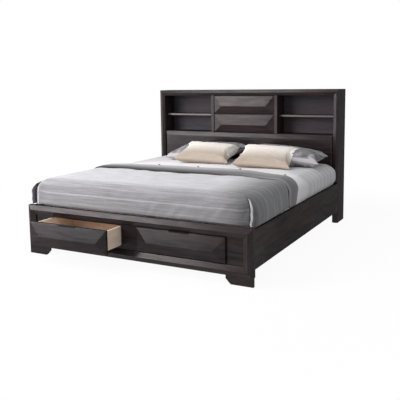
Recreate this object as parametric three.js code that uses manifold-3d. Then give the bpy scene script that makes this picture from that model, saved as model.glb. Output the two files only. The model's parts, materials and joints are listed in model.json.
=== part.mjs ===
// Bed with a bookcase headboard, two footboard drawers, two headboard drawers and its bedding.
// Millimetres. +X is the right side seen from the foot, +Y runs to the headboard, +Z is up.
import * as THREE from 'three';
import { ConvexGeometry } from 'three/addons/geometries/ConvexGeometry.js';
import { mergeVertices } from 'three/addons/utils/BufferGeometryUtils.js';
import Module from 'manifold-3d';

const wasm = await Module();
wasm.setup();

// Whole bed
const bedWidth = 2100;
const bedLength = 2180; // footboard face to headboard face
const headHeight = 1360;
const headDepth = 220;
const footHeight = 425;

// Joint lines and edges
const seam = 0.3; // between boards that touch
const edgeBreak = 1.2; // small chamfer along sawn edges
const runGap = 0.6; // between a drawer and what it slides on
const clothGap = 0.5; // between a soft piece and what it lies on
const overrun = 300; // how far a cut runs past what it cuts

// Headboard
const headMouldWidth = 60;
const headMouldEdge = 18; // thickness of the moulding at its two edges
const headMouldRise = 12; // how far the ridge stands in front of the edges
const ridgeShare = 0.5; // where the ridge runs across a moulding
const mouldReveal = 2; // how far the moulding laps past the post
const topBoard = 22;
const backPanel = 6;
const backPanelInset = 4;
const backPanelLift = 200; // lowest edge above the floor
const bookcaseHeight = 465; // bookcase floor to the headboard's top edge
const shelfBoard = 20;
const shelfSetBack = 70;
const shelfHeight = 178; // clear height under a shelf
const dividerX = 388; // outer face of a divider, from the middle
const dividerStile = 31;
const dividerStileThick = 18;
const dividerWeb = 20;
const drawerShelf = 14;
const lowerPanelGap = 8; // shadow line beside the lower panel
const lowerPanelFace = 2; // set back from the headboard face
const lowerPanelThick = 26;
const lowerPanelDrop = 593; // height of the lower panel
const lowerBevelHeight = 45;
const lowerBevelSide = 14;
const lowerBevelDepth = 12;
const panelTopGap = 2; // lower panel's top edge under the bookcase floor line

// Faceted drawer fronts
const frontThick = 20;
const frontRim = 7; // narrow chamfer round the face
const frontRimDepth = 5;
const frontRise = 15; // ridge in front of the rim
const ridgeUpShare = 0.42; // ridge height on a front, from its bottom edge
const frontGap = 4; // shadow gap round a front

// Headboard drawers
const headRidgeInset = 92;
const headBoxSide = 12;
const headBoxBottom = 6;
const headBoxClear = 6; // between box and divider stile
const headBoxTopGap = 45; // above a box, inside its bay
const headBoxEndGap = 12; // behind the closed box

// Footboard
const footClearance = 65; // under the footboard
const footMouldWidth = 78;
const footMouldEdge = 10;
const footMouldRise = 20;
const footPanelThick = 25;
const bracketTop = 220;
const bracketFloor = 179;
const bracketBevel = 41;
const bracketThick = 20;

// Footboard drawers
const footFrontInset = 217; // outer end of a drawer front, from the bed's side
const footFrontApart = 134; // between the two drawer fronts
const footRidgeInset = 98;
const footBoxInset = 25; // box side inside the end of its front
const footBoxSide = 12;
const footBoxLift = 30; // box above the lower moulding
const footBoxDrop = 18; // box below the upper moulding
const footBoxDepth = 480;
const footBoxBottom = 6;
const footBoxBottomLift = 6; // bottom panel above the lower edge of the sides
const footBoxBackDrop = 10; // back board below the top of the sides
const windowGap = 5; // round a box in the footboard panel
const closeGap = 0.4; // between a closed front and the panel
const drawerShown = 205; // how far the left drawer stands open
const pullLength = 172;
const pullDepth = 13;
const pullLip = 9;
const pullThick = 2;
const runnerWidth = 60;
const runnerHeight = 28;

// Side rails and slats
const railThick = 28;
const railHeight = 290;
const railDrop = 11; // rails' top edge below the footboard's
const ledgerWidth = 22;
const ledgerHeight = 38;
const slatDrop = 80; // underside of the slats below the rails' top edge
const slatThick = 18;
const slatWidth = 70;
const slatCount = 13;
const slatEndGap = 4;
const slatFirst = 52; // first slat behind the footboard panel
const slatLast = 48; // last slat before the headboard face
const tapeWidth = 30;
const tapeThick = 3;
const tapeFromMiddle = 600;
const stretcherThick = 20;
const stretcherGap = 55; // behind a closed drawer box
const beamWidth = 60;
const beamHeight = 70;
const legSize = 50;
const legShares = [0.34, 0.8]; // along the centre beam

// Mattress and duvet
const mattressThick = 266;
const mattressSideGap = 10; // to each rail
const mattressFootGap = 64; // behind the footboard panel
const mattressHeadGap = 23; // before the headboard face
const mattressCrown = 10;
const mattressCorner = 70; // plan radius
const mattressEdge = 42; // radius of the long edges
const mattressHem = 21; // rounding along its lower edge
const duvetThick = 22;
const duvetSide = 22; // thickness on the hanging sides, which end on the rails
const duvetHemRound = 8;
const duvetHeadGap = 935; // from the folded end to the headboard face
const duvetCorner = 75;
const duvetEdge = 80;
const duvetCrown = 8;
const cuffWidth = 430; // the turned-back end
const cuffThick = 13;
const cuffSide = 3;
const foldDepth = 4; // soft folds down the hanging sides
const foldCount = 16;
const duvetSteps = 12; // straight steps along one side of the outline

// Padded blocks
const cornerSteps = 5;
const edgeSteps = 4;
const mattressSteps = 6;
const crownShares = [0.16, 0.36, 0.62, 0.86]; // rings over the top, from edge to middle
const cornerLeastShare = 0.12; // corner radius left on the inner rings

// Pillows
const creamWidth = 585;
const creamDepth = 465;
const creamHeight = 150;
const greyWidth = 780;
const greyDepth = 480;
const greyHeight = 168;
const pillowPull = 0.075; // share by which a side is drawn in between the corners
const pillowSteps = 14;

// Places that follow from the sizes above
const halfWidth = bedWidth / 2;
const headFace = bedLength;
const headBack = headFace + headDepth;
const headInner = halfWidth - headMouldWidth + mouldReveal;
const postFront = headFace + headMouldEdge + seam;
const mouldLow = headHeight - headMouldWidth; // lower edge of the top moulding
const topBoardLow = headHeight - topBoard;
const bookcaseLevel = headHeight - bookcaseHeight;
const bayMiddle = (bookcaseLevel + mouldLow) / 2; // between the two headboard drawers
const headBoxHeight = bayMiddle - drawerShelf / 2 - bookcaseLevel - runGap - headBoxTopGap;
const backPanelFace = headBack - backPanelInset - backPanel;
const panelBack = headFace + lowerPanelFace + lowerPanelThick;
const stileInner = dividerX - dividerStile;
const panelFace = footMouldEdge; // footboard panel's front face
const panelRear = panelFace + footPanelThick;
const boxFront = panelFace - closeGap; // back of a closed footboard drawer front
const footLow = footClearance + footMouldWidth;
const footHigh = footHeight - footMouldWidth;
const footFrontWidth = halfWidth - footFrontInset - footFrontApart / 2;
const drawerFromMiddle = (footFrontApart + footFrontWidth) / 2;
const footBoxHalf = footFrontWidth / 2 - footBoxInset;
const footBoxLow = footLow + footBoxLift;
const footBoxTop = footHigh - footBoxDrop;
const footBoxEnd = boxFront + footBoxDepth;
const stretcherFace = footBoxEnd + stretcherGap;
const stretcherRear = stretcherFace + stretcherThick;
const railInner = halfWidth - railThick;
const railTop = footHeight - railDrop;
const railBottom = railTop - railHeight;
const railStart = panelRear + seam;
const railEnd = headFace - headMouldRise - seam;
const ledgerInner = railInner - seam - ledgerWidth;
const slatLevel = railTop - slatDrop;
const slatTop = slatLevel + slatThick;
const slatStart = panelRear + slatFirst;
const slatStop = headFace - slatLast - slatWidth;
const slatPitch = (slatStop - slatStart) / (slatCount - 1);
const mattressLow = slatTop + seam;
const mattressTop = mattressLow + mattressThick;
const mattressHalf = railInner - mattressSideGap;
const mattressFoot = panelRear + mattressFootGap;
const mattressHead = headFace - mattressHeadGap;
const duvetHalf = mattressHalf + duvetSide;
const duvetHem = railTop + clothGap;
const duvetFoot = mattressFoot - duvetSide;
const duvetTop = mattressTop + mattressCrown + duvetThick - duvetCrown;
const duvetHead = headFace - duvetHeadGap;
const frontmost = -(closeGap + frontThick + frontRise + drawerShown - panelFace);
const middleY = (frontmost + headBack) / 2;

// Materials
const paint = (color, roughness) => new THREE.MeshStandardMaterial({ color, roughness, metalness: 0 });
const darkWood = () => paint(0x2c2325, 0.42);
const boxWood = () => paint(0xb2957a, 0.6);
const slatWood = () => paint(0xc2a67e, 0.65);
const plainPly = () => paint(0x4a3c37, 0.6);
const darkMetal = () => new THREE.MeshStandardMaterial({ color: 0x1a1819, roughness: 0.4, metalness: 0.8 });
const sheetCloth = () => paint(0xb9b9bc, 0.85);
const duvetCloth = () => paint(0x9c9ca0, 0.85);
const creamCloth = () => paint(0xe6dccf, 0.85);
const greyCloth = () => paint(0x8f8f93, 0.85);

const bed = new THREE.Group();

function addPiece(name, geometry, material) {
  const piece = new THREE.Mesh(geometry, material);
  piece.name = name;
  bed.add(piece);
}

const point = (x, y, z) => new THREE.Vector3(x, y, z);

// A sawn board between two corners, with every edge broken by a small chamfer
function boardGeometry(x, y, z, chamfer = edgeBreak) {
  const points = [];
  for (const i of [0, 1]) {
    for (const j of [0, 1]) {
      for (const k of [0, 1]) {
        const dx = i ? -chamfer : chamfer;
        const dy = j ? -chamfer : chamfer;
        const dz = k ? -chamfer : chamfer;
        points.push(point(x[i] + dx, y[j] + dy, z[k]));
        points.push(point(x[i] + dx, y[j], z[k] + dz));
        points.push(point(x[i], y[j] + dy, z[k] + dz));
      }
    }
  }
  return new ConvexGeometry(points);
}

// A square-edged block between two corners
function blockGeometry(x, y, z) {
  const block = new THREE.BoxGeometry(x[1] - x[0], y[1] - y[0], z[1] - z[0]);
  block.translate((x[0] + x[1]) / 2, (y[0] + y[1]) / 2, (z[0] + z[1]) / 2);
  return block;
}

const mirrored = (range) => [-range[1], -range[0]];
const sides = [
  { word: 'left', facing: (range) => mirrored(range), sign: -1 },
  { word: 'right', facing: (range) => range, sign: 1 },
];

// Booleans
function solidOf(geometry) {
  const bare = geometry.clone();
  bare.deleteAttribute('normal');
  bare.deleteAttribute('uv');
  const merged = mergeVertices(bare);
  return new wasm.Manifold(new wasm.Mesh({
    numProp: 3,
    vertProperties: new Float32Array(merged.attributes.position.array),
    triVerts: new Uint32Array(merged.index.array),
  }));
}

function geometryOf(solid) {
  const mesh = solid.getMesh();
  const geometry = new THREE.BufferGeometry();
  geometry.setAttribute('position', new THREE.BufferAttribute(new Float32Array(mesh.vertProperties), 3));
  geometry.setIndex(new THREE.BufferAttribute(new Uint32Array(mesh.triVerts), 1));
  geometry.computeVertexNormals();
  return geometry;
}

// A moulding with a ridge along it. A mitred end leans in by the bar's own width.
// place(along, inward, outward) puts a point of the bar into the bed.
function mouldingGeometry(length, size, mitres, place) {
  const section = [
    [0, 0],
    [0, size.edge],
    [size.width * ridgeShare, size.edge + size.rise],
    [size.width, size.edge],
    [size.width, 0],
  ];
  const points = [];
  for (const [inward, outward] of section) {
    const start = mitres[0] ? inward + seam : 0;
    const end = mitres[1] ? length - inward - seam : length;
    points.push(place(start, inward, outward), place(end, inward, outward));
  }
  return new ConvexGeometry(points);
}

// A drawer front: slab, chamfered rim and a hipped face that rises to a level ridge
function facetedFront(x, z, rimY, ridgeInset) {
  const backY = rimY + frontThick;
  const ridgeZ = z[0] + (z[1] - z[0]) * ridgeUpShare;
  const ridgeY = rimY - frontRise;
  const points = [
    point(x[0] + ridgeInset, ridgeY, ridgeZ),
    point(x[1] - ridgeInset, ridgeY, ridgeZ),
  ];
  for (const i of [0, 1]) {
    for (const k of [0, 1]) {
      const rimX = x[i] + (i ? -frontRim : frontRim);
      const rimZ = z[k] + (k ? -frontRim : frontRim);
      points.push(point(x[i], backY, z[k]));
      points.push(point(x[i], rimY + frontRimDepth, z[k]));
      points.push(point(rimX, rimY, rimZ));
    }
  }
  return new ConvexGeometry(points);
}

// Headboard carcase
function makeHeadboard() {
  const mould = { width: headMouldWidth, edge: headMouldEdge, rise: headMouldRise };
  const mouldBack = headFace + headMouldEdge;
  const onTop = (along, inward, outward) =>
    point(along - halfWidth, mouldBack - outward, headHeight - inward);
  addPiece('headboard_moulding_top', mouldingGeometry(bedWidth, mould, [true, true], onTop), darkWood());
  for (const side of sides) {
    addPiece(`headboard_moulding_${side.word}`, mouldingGeometry(headHeight, mould, [true, false],
      (along, inward, outward) => point(side.sign * (halfWidth - inward), mouldBack - outward,
        headHeight - along)), darkWood());
    addPiece(`headboard_post_${side.word}`,
      boardGeometry(side.facing([headInner, halfWidth]), [postFront, headBack], [0, headHeight]), darkWood());
  }
  const across = [-headInner + seam, headInner - seam];
  addPiece('headboard_top', boardGeometry(across, [postFront, headBack],
    [topBoardLow, headHeight]), darkWood());
  addPiece('headboard_back_panel', boardGeometry(across, [backPanelFace, backPanelFace + backPanel],
    [backPanelLift, topBoardLow - seam]), plainPly());
  addPiece('bookcase_floor', boardGeometry(across, [panelBack + seam, backPanelFace - seam],
    [bookcaseLevel - shelfBoard, bookcaseLevel]), darkWood());
}

// Panel below the bookcase, with a broad bevel along its top and narrow ones at its ends
function makeLowerPanel() {
  const half = headInner - lowerPanelGap;
  const top = bookcaseLevel - panelTopGap;
  const low = top - lowerPanelDrop;
  const face = headFace + lowerPanelFace;
  const fieldHalf = half - lowerBevelSide;
  const points = [];
  for (const sign of [-1, 1]) {
    for (const z of [low, top]) {
      points.push(point(sign * half, panelBack, z), point(sign * half, face + lowerBevelDepth, z));
    }
    points.push(point(sign * fieldHalf, face, low), point(sign * fieldHalf, face, top - lowerBevelHeight));
  }
  addPiece('headboard_lower_panel', new ConvexGeometry(points), darkWood());
}

// A divider is a front stile with a web behind it, flush on the open compartment's side
function makeDivider(side) {
  const stile = blockGeometry(side.facing([stileInner, dividerX]),
    [headFace, headFace + dividerStileThick + seam + dividerWeb], [bookcaseLevel + seam, mouldLow - seam]);
  const web = blockGeometry(side.facing([dividerX - dividerWeb, dividerX]),
    [headFace + dividerStileThick + seam, backPanelFace - seam], [bookcaseLevel + seam, topBoardLow - seam]);
  const relief = blockGeometry(side.facing([stileInner - dividerWeb, dividerX - dividerWeb]),
    [headFace + dividerStileThick, headBack], [0, headHeight]);
  const solid = solidOf(stile).subtract(solidOf(relief)).add(solidOf(web));
  addPiece(`bookcase_divider_${side.word}`, geometryOf(solid), darkWood());
}

function makeShelf(side) {
  const low = bookcaseLevel + shelfHeight;
  addPiece(`bookcase_shelf_${side.word}`,
    boardGeometry(side.facing([dividerX + seam, headInner - seam]),
      [headFace + shelfSetBack, backPanelFace - seam], [low, low + shelfBoard]), darkWood());
}

// One headboard drawer between z[0] and z[1], its box on a floor at boxLevel
function makeHeadDrawer(word, z, boxLevel) {
  const half = stileInner - frontGap;
  const boxHalf = stileInner - headBoxClear;
  const back = headFace + frontThick;
  const end = backPanelFace - headBoxEndGap;
  const low = boxLevel + runGap;
  const inner = boxHalf - headBoxSide - seam;
  addPiece(`${word}_front`, facetedFront([-half, half], z, headFace, headRidgeInset), darkWood());
  for (const side of sides) {
    addPiece(`${word}_side_${side.word}`, boardGeometry(side.facing([boxHalf - headBoxSide, boxHalf]),
      [back + seam, end], [low, low + headBoxHeight]), boxWood());
  }
  addPiece(`${word}_back`, boardGeometry([-inner, inner], [end - headBoxSide, end],
    [low, low + headBoxHeight]), boxWood());
  addPiece(`${word}_bottom`, boardGeometry([-inner, inner], [back + seam, end - headBoxSide - seam],
    [low, low + headBoxBottom]), boxWood());
}

function makeHeadDrawers() {
  const shelfZ = [bayMiddle - drawerShelf / 2, bayMiddle + drawerShelf / 2];
  const reach = dividerX - dividerWeb - seam;
  addPiece('headboard_drawer_shelf', boardGeometry([-reach, reach],
    [headFace + frontThick + seam, backPanelFace - seam], shelfZ), darkWood());
  const lip = frontGap / 2;
  makeHeadDrawer('headboard_drawer_lower', [bookcaseLevel + lip, bayMiddle - lip], bookcaseLevel);
  makeHeadDrawer('headboard_drawer_upper', [bayMiddle + lip, mouldLow - lip], shelfZ[1]);
}

// Footboard: a panel with two windows, four mitred mouldings and two bracket feet
function makeFootboard() {
  const whole = boardGeometry([-halfWidth, halfWidth], [panelFace, panelRear], [footClearance, footHeight]);
  let panel = solidOf(whole);
  for (const side of sides) {
    const reach = footBoxHalf + windowGap;
    const window = blockGeometry(side.facing([drawerFromMiddle - reach, drawerFromMiddle + reach]),
      [-overrun, overrun], [footBoxLow - windowGap, footBoxTop + windowGap]);
    panel = panel.subtract(solidOf(window));
  }
  addPiece('footboard_panel', geometryOf(panel), darkWood());
  const mould = { width: footMouldWidth, edge: footMouldEdge - seam, rise: footMouldRise };
  const back = panelFace - seam;
  const height = footHeight - footClearance;
  const onTop = (along, inward, outward) => point(along - halfWidth, back - outward, footHeight - inward);
  const onBase = (along, inward, outward) => point(along - halfWidth, back - outward, footClearance + inward);
  addPiece('footboard_moulding_top', mouldingGeometry(bedWidth, mould, [true, true], onTop), darkWood());
  addPiece('footboard_moulding_bottom', mouldingGeometry(bedWidth, mould, [true, true], onBase), darkWood());
  for (const side of sides) {
    addPiece(`footboard_moulding_${side.word}`, mouldingGeometry(height, mould, [true, true],
      (along, inward, outward) => point(side.sign * (halfWidth - inward), back - outward,
        footHeight - along)), darkWood());
    addPiece(`footboard_foot_${side.word}`, bracketFoot(side), darkWood());
  }
}

// A bracket foot is a thin board with a slanted inner corner
function bracketFoot(side) {
  const top = footClearance - seam;
  const outline = [
    [halfWidth, 0],
    [halfWidth, top],
    [halfWidth - bracketTop, top],
    [halfWidth - bracketTop, bracketBevel],
    [halfWidth - bracketFloor, 0],
  ];
  const points = [];
  for (const [x, z] of outline) {
    points.push(point(side.sign * x, 0, z), point(side.sign * x, bracketThick, z));
  }
  return new ConvexGeometry(points);
}

// One footboard drawer; opened is how far it stands out of the footboard
function makeFootDrawer(side, opened) {
  const word = `footboard_drawer_${side.word}`;
  const middle = drawerFromMiddle;
  const half = footFrontWidth / 2;
  const front = boxFront - opened;
  const end = footBoxEnd - opened;
  const z = [footLow + frontGap, footHigh - frontGap];
  const inner = footBoxHalf - footBoxSide - seam;
  const bottom = footBoxLow + footBoxBottomLift;
  const boxX = side.facing([middle - inner, middle + inner]);
  addPiece(`${word}_front`, facetedFront(side.facing([middle - half, middle + half]), z,
    front - frontThick, footRidgeInset), darkWood());
  for (const flank of sides) {
    const edge = flank.facing([footBoxHalf - footBoxSide, footBoxHalf]);
    const centre = side.sign * middle;
    addPiece(`${word}_side_${flank.word}`, boardGeometry([centre + edge[0], centre + edge[1]],
      [front + seam, end], [footBoxLow, footBoxTop]), boxWood());
  }
  addPiece(`${word}_back`, boardGeometry(boxX, [end - footBoxSide, end],
    [bottom + footBoxBottom + seam, footBoxTop - footBoxBackDrop]), boxWood());
  addPiece(`${word}_bottom`, boardGeometry(boxX, [front + seam, end],
    [bottom, bottom + footBoxBottom]), boxWood());
  const rimBack = front - frontThick + frontRimDepth;
  addPiece(`${word}_pull`, edgePull(side.sign * middle, rimBack, z[1]), darkMetal());
}

// A folded strip hooked over the top edge of a front
function edgePull(middle, face, top) {
  const x = [middle - pullLength / 2, middle + pullLength / 2];
  const low = top + seam;
  const lipBack = face - seam;
  const flange = blockGeometry(x, [lipBack - pullThick, face + pullDepth], [low, low + pullThick]);
  const lip = blockGeometry(x, [lipBack - pullThick - frontRimDepth, lipBack - frontRimDepth],
    [top - pullLip, low + pullThick]);
  const bridge = blockGeometry(x, [lipBack - pullThick - frontRimDepth, lipBack], [low, low + pullThick]);
  return geometryOf(solidOf(flange).add(solidOf(bridge)).add(solidOf(lip)));
}

// Runner under each footboard drawer, and the stretcher that closes the drawer bay
function makeDrawerBay() {
  const top = footBoxLow + footBoxBottomLift - runGap;
  for (const side of sides) {
    addPiece(`drawer_runner_${side.word}`,
      boardGeometry(side.facing([drawerFromMiddle - runnerWidth / 2, drawerFromMiddle + runnerWidth / 2]),
        [panelRear + seam, stretcherFace - seam], [top - runnerHeight, top]), slatWood());
  }
  const reach = ledgerInner - seam;
  addPiece('drawer_stretcher', boardGeometry([-reach, reach], [stretcherFace, stretcherRear],
    [railBottom, slatLevel - seam]), slatWood());
}

// Side rails with a ledger strip inside each
function makeRails() {
  for (const side of sides) {
    addPiece(`side_rail_${side.word}`, boardGeometry(side.facing([railInner, halfWidth]),
      [railStart, railEnd], [railBottom, railTop]), darkWood());
    addPiece(`ledger_${side.word}`, boardGeometry(side.facing([ledgerInner, railInner - seam]),
      [railStart, railEnd], [slatLevel - seam - ledgerHeight, slatLevel - seam]), slatWood());
  }
}

// Slats joined by two webbing tapes let into their tops
function makeSlats() {
  const reach = railInner - slatEndGap;
  let roll = null;
  for (let index = 0; index < slatCount; index += 1) {
    const start = slatStart + slatPitch * index;
    const slat = solidOf(blockGeometry([-reach, reach], [start, start + slatWidth], [slatLevel, slatTop]));
    roll = roll ? roll.add(slat) : slat;
  }
  for (const side of sides) {
    const tape = blockGeometry(side.facing([tapeFromMiddle - tapeWidth / 2, tapeFromMiddle + tapeWidth / 2]),
      [slatStart, slatStop + slatWidth], [slatTop - tapeThick, slatTop]);
    roll = roll.add(solidOf(tape));
  }
  addPiece('slat_roll', geometryOf(roll), slatWood());
}

// Centre beam under the slats, on two legs
function makeCentreSupport() {
  const start = stretcherRear + seam;
  const end = headFace + lowerPanelFace - seam;
  const top = slatLevel - seam;
  addPiece('centre_beam', boardGeometry([-beamWidth / 2, beamWidth / 2], [start, end],
    [top - beamHeight, top]), slatWood());
  legShares.forEach((share, index) => {
    const y = start + (end - start) * share;
    addPiece(`centre_leg_${index + 1}`, boardGeometry([-legSize / 2, legSize / 2],
      [y - legSize / 2, y + legSize / 2], [0, top - beamHeight - seam]), slatWood());
  });
}

// Points of a rounded rectangle, drawn in by inset
function roundedOutline(x, y, corner, inset, sideSteps) {
  const radius = Math.max(corner - inset, corner * cornerLeastShare);
  const middle = [(x[0] + x[1]) / 2, (y[0] + y[1]) / 2];
  const reach = [(x[1] - x[0]) / 2 - inset - radius, (y[1] - y[0]) / 2 - inset - radius];
  const quarters = [[1, 1], [-1, 1], [-1, -1], [1, -1]];
  const onArc = (quarter, share) => {
    const [sx, sy] = quarters[quarter % quarters.length];
    const angle = (quarter + share) * Math.PI / 2;
    return [middle[0] + sx * reach[0] + radius * Math.cos(angle),
      middle[1] + sy * reach[1] + radius * Math.sin(angle)];
  };
  const outline = [];
  quarters.forEach((_, quarter) => {
    for (let step = 0; step <= cornerSteps; step += 1) outline.push(onArc(quarter, step / cornerSteps));
    const from = onArc(quarter, 1);
    const to = onArc(quarter + 1, 0);
    for (let step = 1; step < sideSteps; step += 1) {
      const along = step / sideSteps;
      outline.push([from[0] + (to[0] - from[0]) * along, from[1] + (to[1] - from[1]) * along]);
    }
  });
  return outline;
}

// Closed skin through a stack of rings, with a point at each end
function skinThrough(rings, lowPoint, highPoint) {
  const count = rings[0].length;
  const positions = [lowPoint, ...rings.flat(), highPoint].flat();
  const last = rings.length * count + 1;
  const index = [];
  for (let step = 0; step < count; step += 1) {
    const next = (step + 1) % count;
    index.push(0, 1 + next, 1 + step);
    index.push(last, last - count + step, last - count + next);
    for (let ring = 0; ring < rings.length - 1; ring += 1) {
      const a = 1 + ring * count + step;
      const b = 1 + ring * count + next;
      index.push(a, b, b + count, a, b + count, a + count);
    }
  }
  const skin = new THREE.BufferGeometry();
  skin.setAttribute('position', new THREE.Float32BufferAttribute(positions, 3));
  skin.setIndex(index);
  return skin;
}

// A padded block: flat underneath, rounded edges, a low crown on top, soft folds down its sides
function softBlock(x, y, z, shape) {
  const { corner, edge, hem, crown, fold, sideSteps } = shape;
  const middle = [(x[0] + x[1]) / 2, (y[0] + y[1]) / 2];
  const reach = Math.min(x[1] - x[0], y[1] - y[0]) / 2;
  const ringAt = (inset, height, foldShare) => roundedOutline(x, y, corner, inset, sideSteps)
    .map(([px, py], step, outline) => {
      const wave = (1 - Math.cos(step / outline.length * foldCount * 2 * Math.PI)) / 2;
      const shrink = 1 - fold * foldShare * wave / Math.hypot(px - middle[0], py - middle[1]);
      return [middle[0] + (px - middle[0]) * shrink, middle[1] + (py - middle[1]) * shrink, height];
    });
  const rings = [ringAt(hem, z[0], 0), ringAt(0, z[0] + hem, 1)];
  for (let step = 0; step <= edgeSteps; step += 1) {
    const angle = step / edgeSteps * Math.PI / 2;
    rings.push(ringAt(edge * (1 - Math.cos(angle)), z[1] - edge + edge * Math.sin(angle), Math.cos(angle)));
  }
  for (const share of crownShares) {
    rings.push(ringAt(edge + (reach - edge) * share, z[1] + crown * (1 - (1 - share) ** 2), 0));
  }
  return skinThrough(rings, [...middle, z[0]], [...middle, z[1] + crown]);
}

// A pillow: two crowned faces meeting at a seam that is drawn in between the corners
function pillowGeometry(width, depth, height, grow) {
  const steps = pillowSteps;
  const positions = [];
  const index = [];
  const perRow = steps + 1;
  const spread = (share) => Math.sin(share * Math.PI / 2);
  const addFace = (sign) => {
    const base = positions.length / 3;
    for (let row = 0; row <= steps; row += 1) {
      for (let column = 0; column <= steps; column += 1) {
        const u = spread((column / steps) * 2 - 1);
        const v = spread((row / steps) * 2 - 1);
        const x = (width / 2 + grow) * u * (1 - pillowPull * (1 - v * v));
        const y = (depth / 2 + grow) * v * (1 - pillowPull * (1 - u * u));
        const swell = Math.sqrt(Math.max(0, (1 - u * u) * (1 - v * v)));
        positions.push(x, y, sign * swell * (height / 2 + grow));
      }
    }
    for (let row = 0; row < steps; row += 1) {
      for (let column = 0; column < steps; column += 1) {
        const a = base + row * perRow + column;
        const across = a + perRow + 1;
        const [second, fourth] = sign > 0 ? [a + 1, a + perRow] : [a + perRow, a + 1];
        index.push(a, second, across, a, across, fourth);
      }
    }
  };
  addFace(1);
  addFace(-1);
  const skin = new THREE.BufferGeometry();
  skin.setAttribute('position', new THREE.Float32BufferAttribute(positions, 3));
  skin.setIndex(index);
  return mergeVertices(skin);
}

// Where each pillow lies: its middle across half the mattress, before the headboard and above the mattress,
// then its sideways lean, its tilt towards the headboard and its turn on the bed, in degrees
const greyPlaces = {
  left: { acrossShare: -0.307, back: 265, lift: 80, lean: -3, tilt: 7, turn: 0 },
  right: { acrossShare: 0.583, back: 320, lift: 86, lean: 5, tilt: 3, turn: 5 },
};
const creamPlaces = {
  left: { acrossShare: -0.202, back: 458, lift: 90, lean: 3, tilt: 14.5, turn: 8 },
  right: { acrossShare: 0.475, back: 532, lift: 87, lean: 2.5, tilt: 16.5, turn: 6 },
};

function layPillow(size, place, grow) {
  const pillow = pillowGeometry(size.width, size.depth, size.height, grow);
  pillow.rotateY(THREE.MathUtils.degToRad(place.lean));
  pillow.rotateX(THREE.MathUtils.degToRad(place.tilt));
  pillow.rotateZ(THREE.MathUtils.degToRad(place.turn));
  pillow.translate(mattressHalf * place.acrossShare, headFace - place.back,
    mattressTop + mattressCrown + place.lift);
  return solidOf(pillow);
}

function mattressBlock(grow) {
  const half = mattressHalf + grow;
  const shape = { corner: mattressCorner, edge: mattressEdge, hem: mattressHem, crown: mattressCrown };
  return softBlock([-half, half], [mattressFoot - grow, mattressHead + grow],
    [mattressLow - grow, mattressTop + grow], { ...shape, fold: 0, sideSteps: mattressSteps });
}

// Mattress in its sheet, the duvet with its turned-back end, and four pillows
function makeBedding() {
  const mattress = solidOf(mattressBlock(0));
  const mattressRoom = solidOf(mattressBlock(clothGap));
  addPiece('mattress', geometryOf(mattress), sheetCloth());

  const loft = { corner: duvetCorner, edge: duvetEdge, hem: duvetHemRound, crown: duvetCrown };
  const cover = softBlock([-duvetHalf, duvetHalf], [duvetFoot, duvetHead], [duvetHem, duvetTop],
    { ...loft, fold: foldDepth, sideSteps: duvetSteps });
  const cuffHalf = duvetHalf + cuffSide;
  const cuff = softBlock([-cuffHalf, cuffHalf], [duvetHead - cuffWidth, duvetHead + cuffSide],
    [duvetHem + cuffSide, duvetTop + cuffThick], { ...loft, fold: 0, sideSteps: mattressSteps });
  const duvet = solidOf(cover).add(solidOf(cuff)).subtract(mattressRoom);
  addPiece('duvet', geometryOf(duvet), duvetCloth());

  const grey = { width: greyWidth, depth: greyDepth, height: greyHeight };
  const cream = { width: creamWidth, depth: creamDepth, height: creamHeight };
  let taken = mattressRoom;
  for (const side of sides) {
    const place = greyPlaces[side.word];
    const pillow = layPillow(grey, place, 0).subtract(taken);
    addPiece(`grey_pillow_${side.word}`, geometryOf(pillow), greyCloth());
    taken = taken.add(layPillow(grey, place, clothGap));
  }
  for (const side of sides) {
    const place = creamPlaces[side.word];
    const pillow = layPillow(cream, place, 0).subtract(taken);
    addPiece(`cream_pillow_${side.word}`, geometryOf(pillow), creamCloth());
    taken = taken.add(layPillow(cream, place, clothGap));
  }
}

makeHeadboard();
makeLowerPanel();
for (const side of sides) {
  makeDivider(side);
  makeShelf(side);
}
makeHeadDrawers();
makeFootboard();
makeFootDrawer(sides[0], drawerShown);
makeFootDrawer(sides[1], 0);
makeDrawerBay();
makeRails();
makeSlats();
makeCentreSupport();
makeBedding();

bed.position.y = -middleY;
bed.updateMatrixWorld(true);

export default bed;
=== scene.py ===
import json
from math import atan2, copysign, cos, exp, hypot, pi, radians, sin, sqrt

import bpy
import numpy as np
from mathutils import Matrix, Vector, noise
from mathutils.bvhtree import BVHTree


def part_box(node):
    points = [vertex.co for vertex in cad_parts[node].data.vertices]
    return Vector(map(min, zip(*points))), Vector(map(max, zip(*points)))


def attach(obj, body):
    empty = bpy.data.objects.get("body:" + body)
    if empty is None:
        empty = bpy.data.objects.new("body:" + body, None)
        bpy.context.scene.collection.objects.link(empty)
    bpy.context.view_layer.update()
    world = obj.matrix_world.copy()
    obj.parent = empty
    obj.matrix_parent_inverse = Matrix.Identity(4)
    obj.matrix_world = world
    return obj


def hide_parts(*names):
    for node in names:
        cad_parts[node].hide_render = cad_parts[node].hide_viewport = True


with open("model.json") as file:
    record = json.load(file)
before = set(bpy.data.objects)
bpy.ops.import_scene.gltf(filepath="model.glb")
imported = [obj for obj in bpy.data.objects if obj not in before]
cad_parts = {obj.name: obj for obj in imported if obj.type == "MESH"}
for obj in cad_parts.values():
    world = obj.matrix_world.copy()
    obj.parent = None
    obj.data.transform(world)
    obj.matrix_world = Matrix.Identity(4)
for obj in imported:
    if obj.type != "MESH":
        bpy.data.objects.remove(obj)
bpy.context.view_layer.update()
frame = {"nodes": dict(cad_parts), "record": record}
scene = bpy.context.scene
bedBody = "bed_frame"
leastLength = 1e-9  # keeps a division by a length safe


# small helpers for numbers and meshes

def blendBetween(value, low, high):
    share = np.clip((np.asarray(value, float) - low) / (high - low), 0, 1)
    return share * share * (3 - 2 * share)


def nearTo(gap, reach):
    return exp(-(gap / reach) ** 2)


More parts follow.
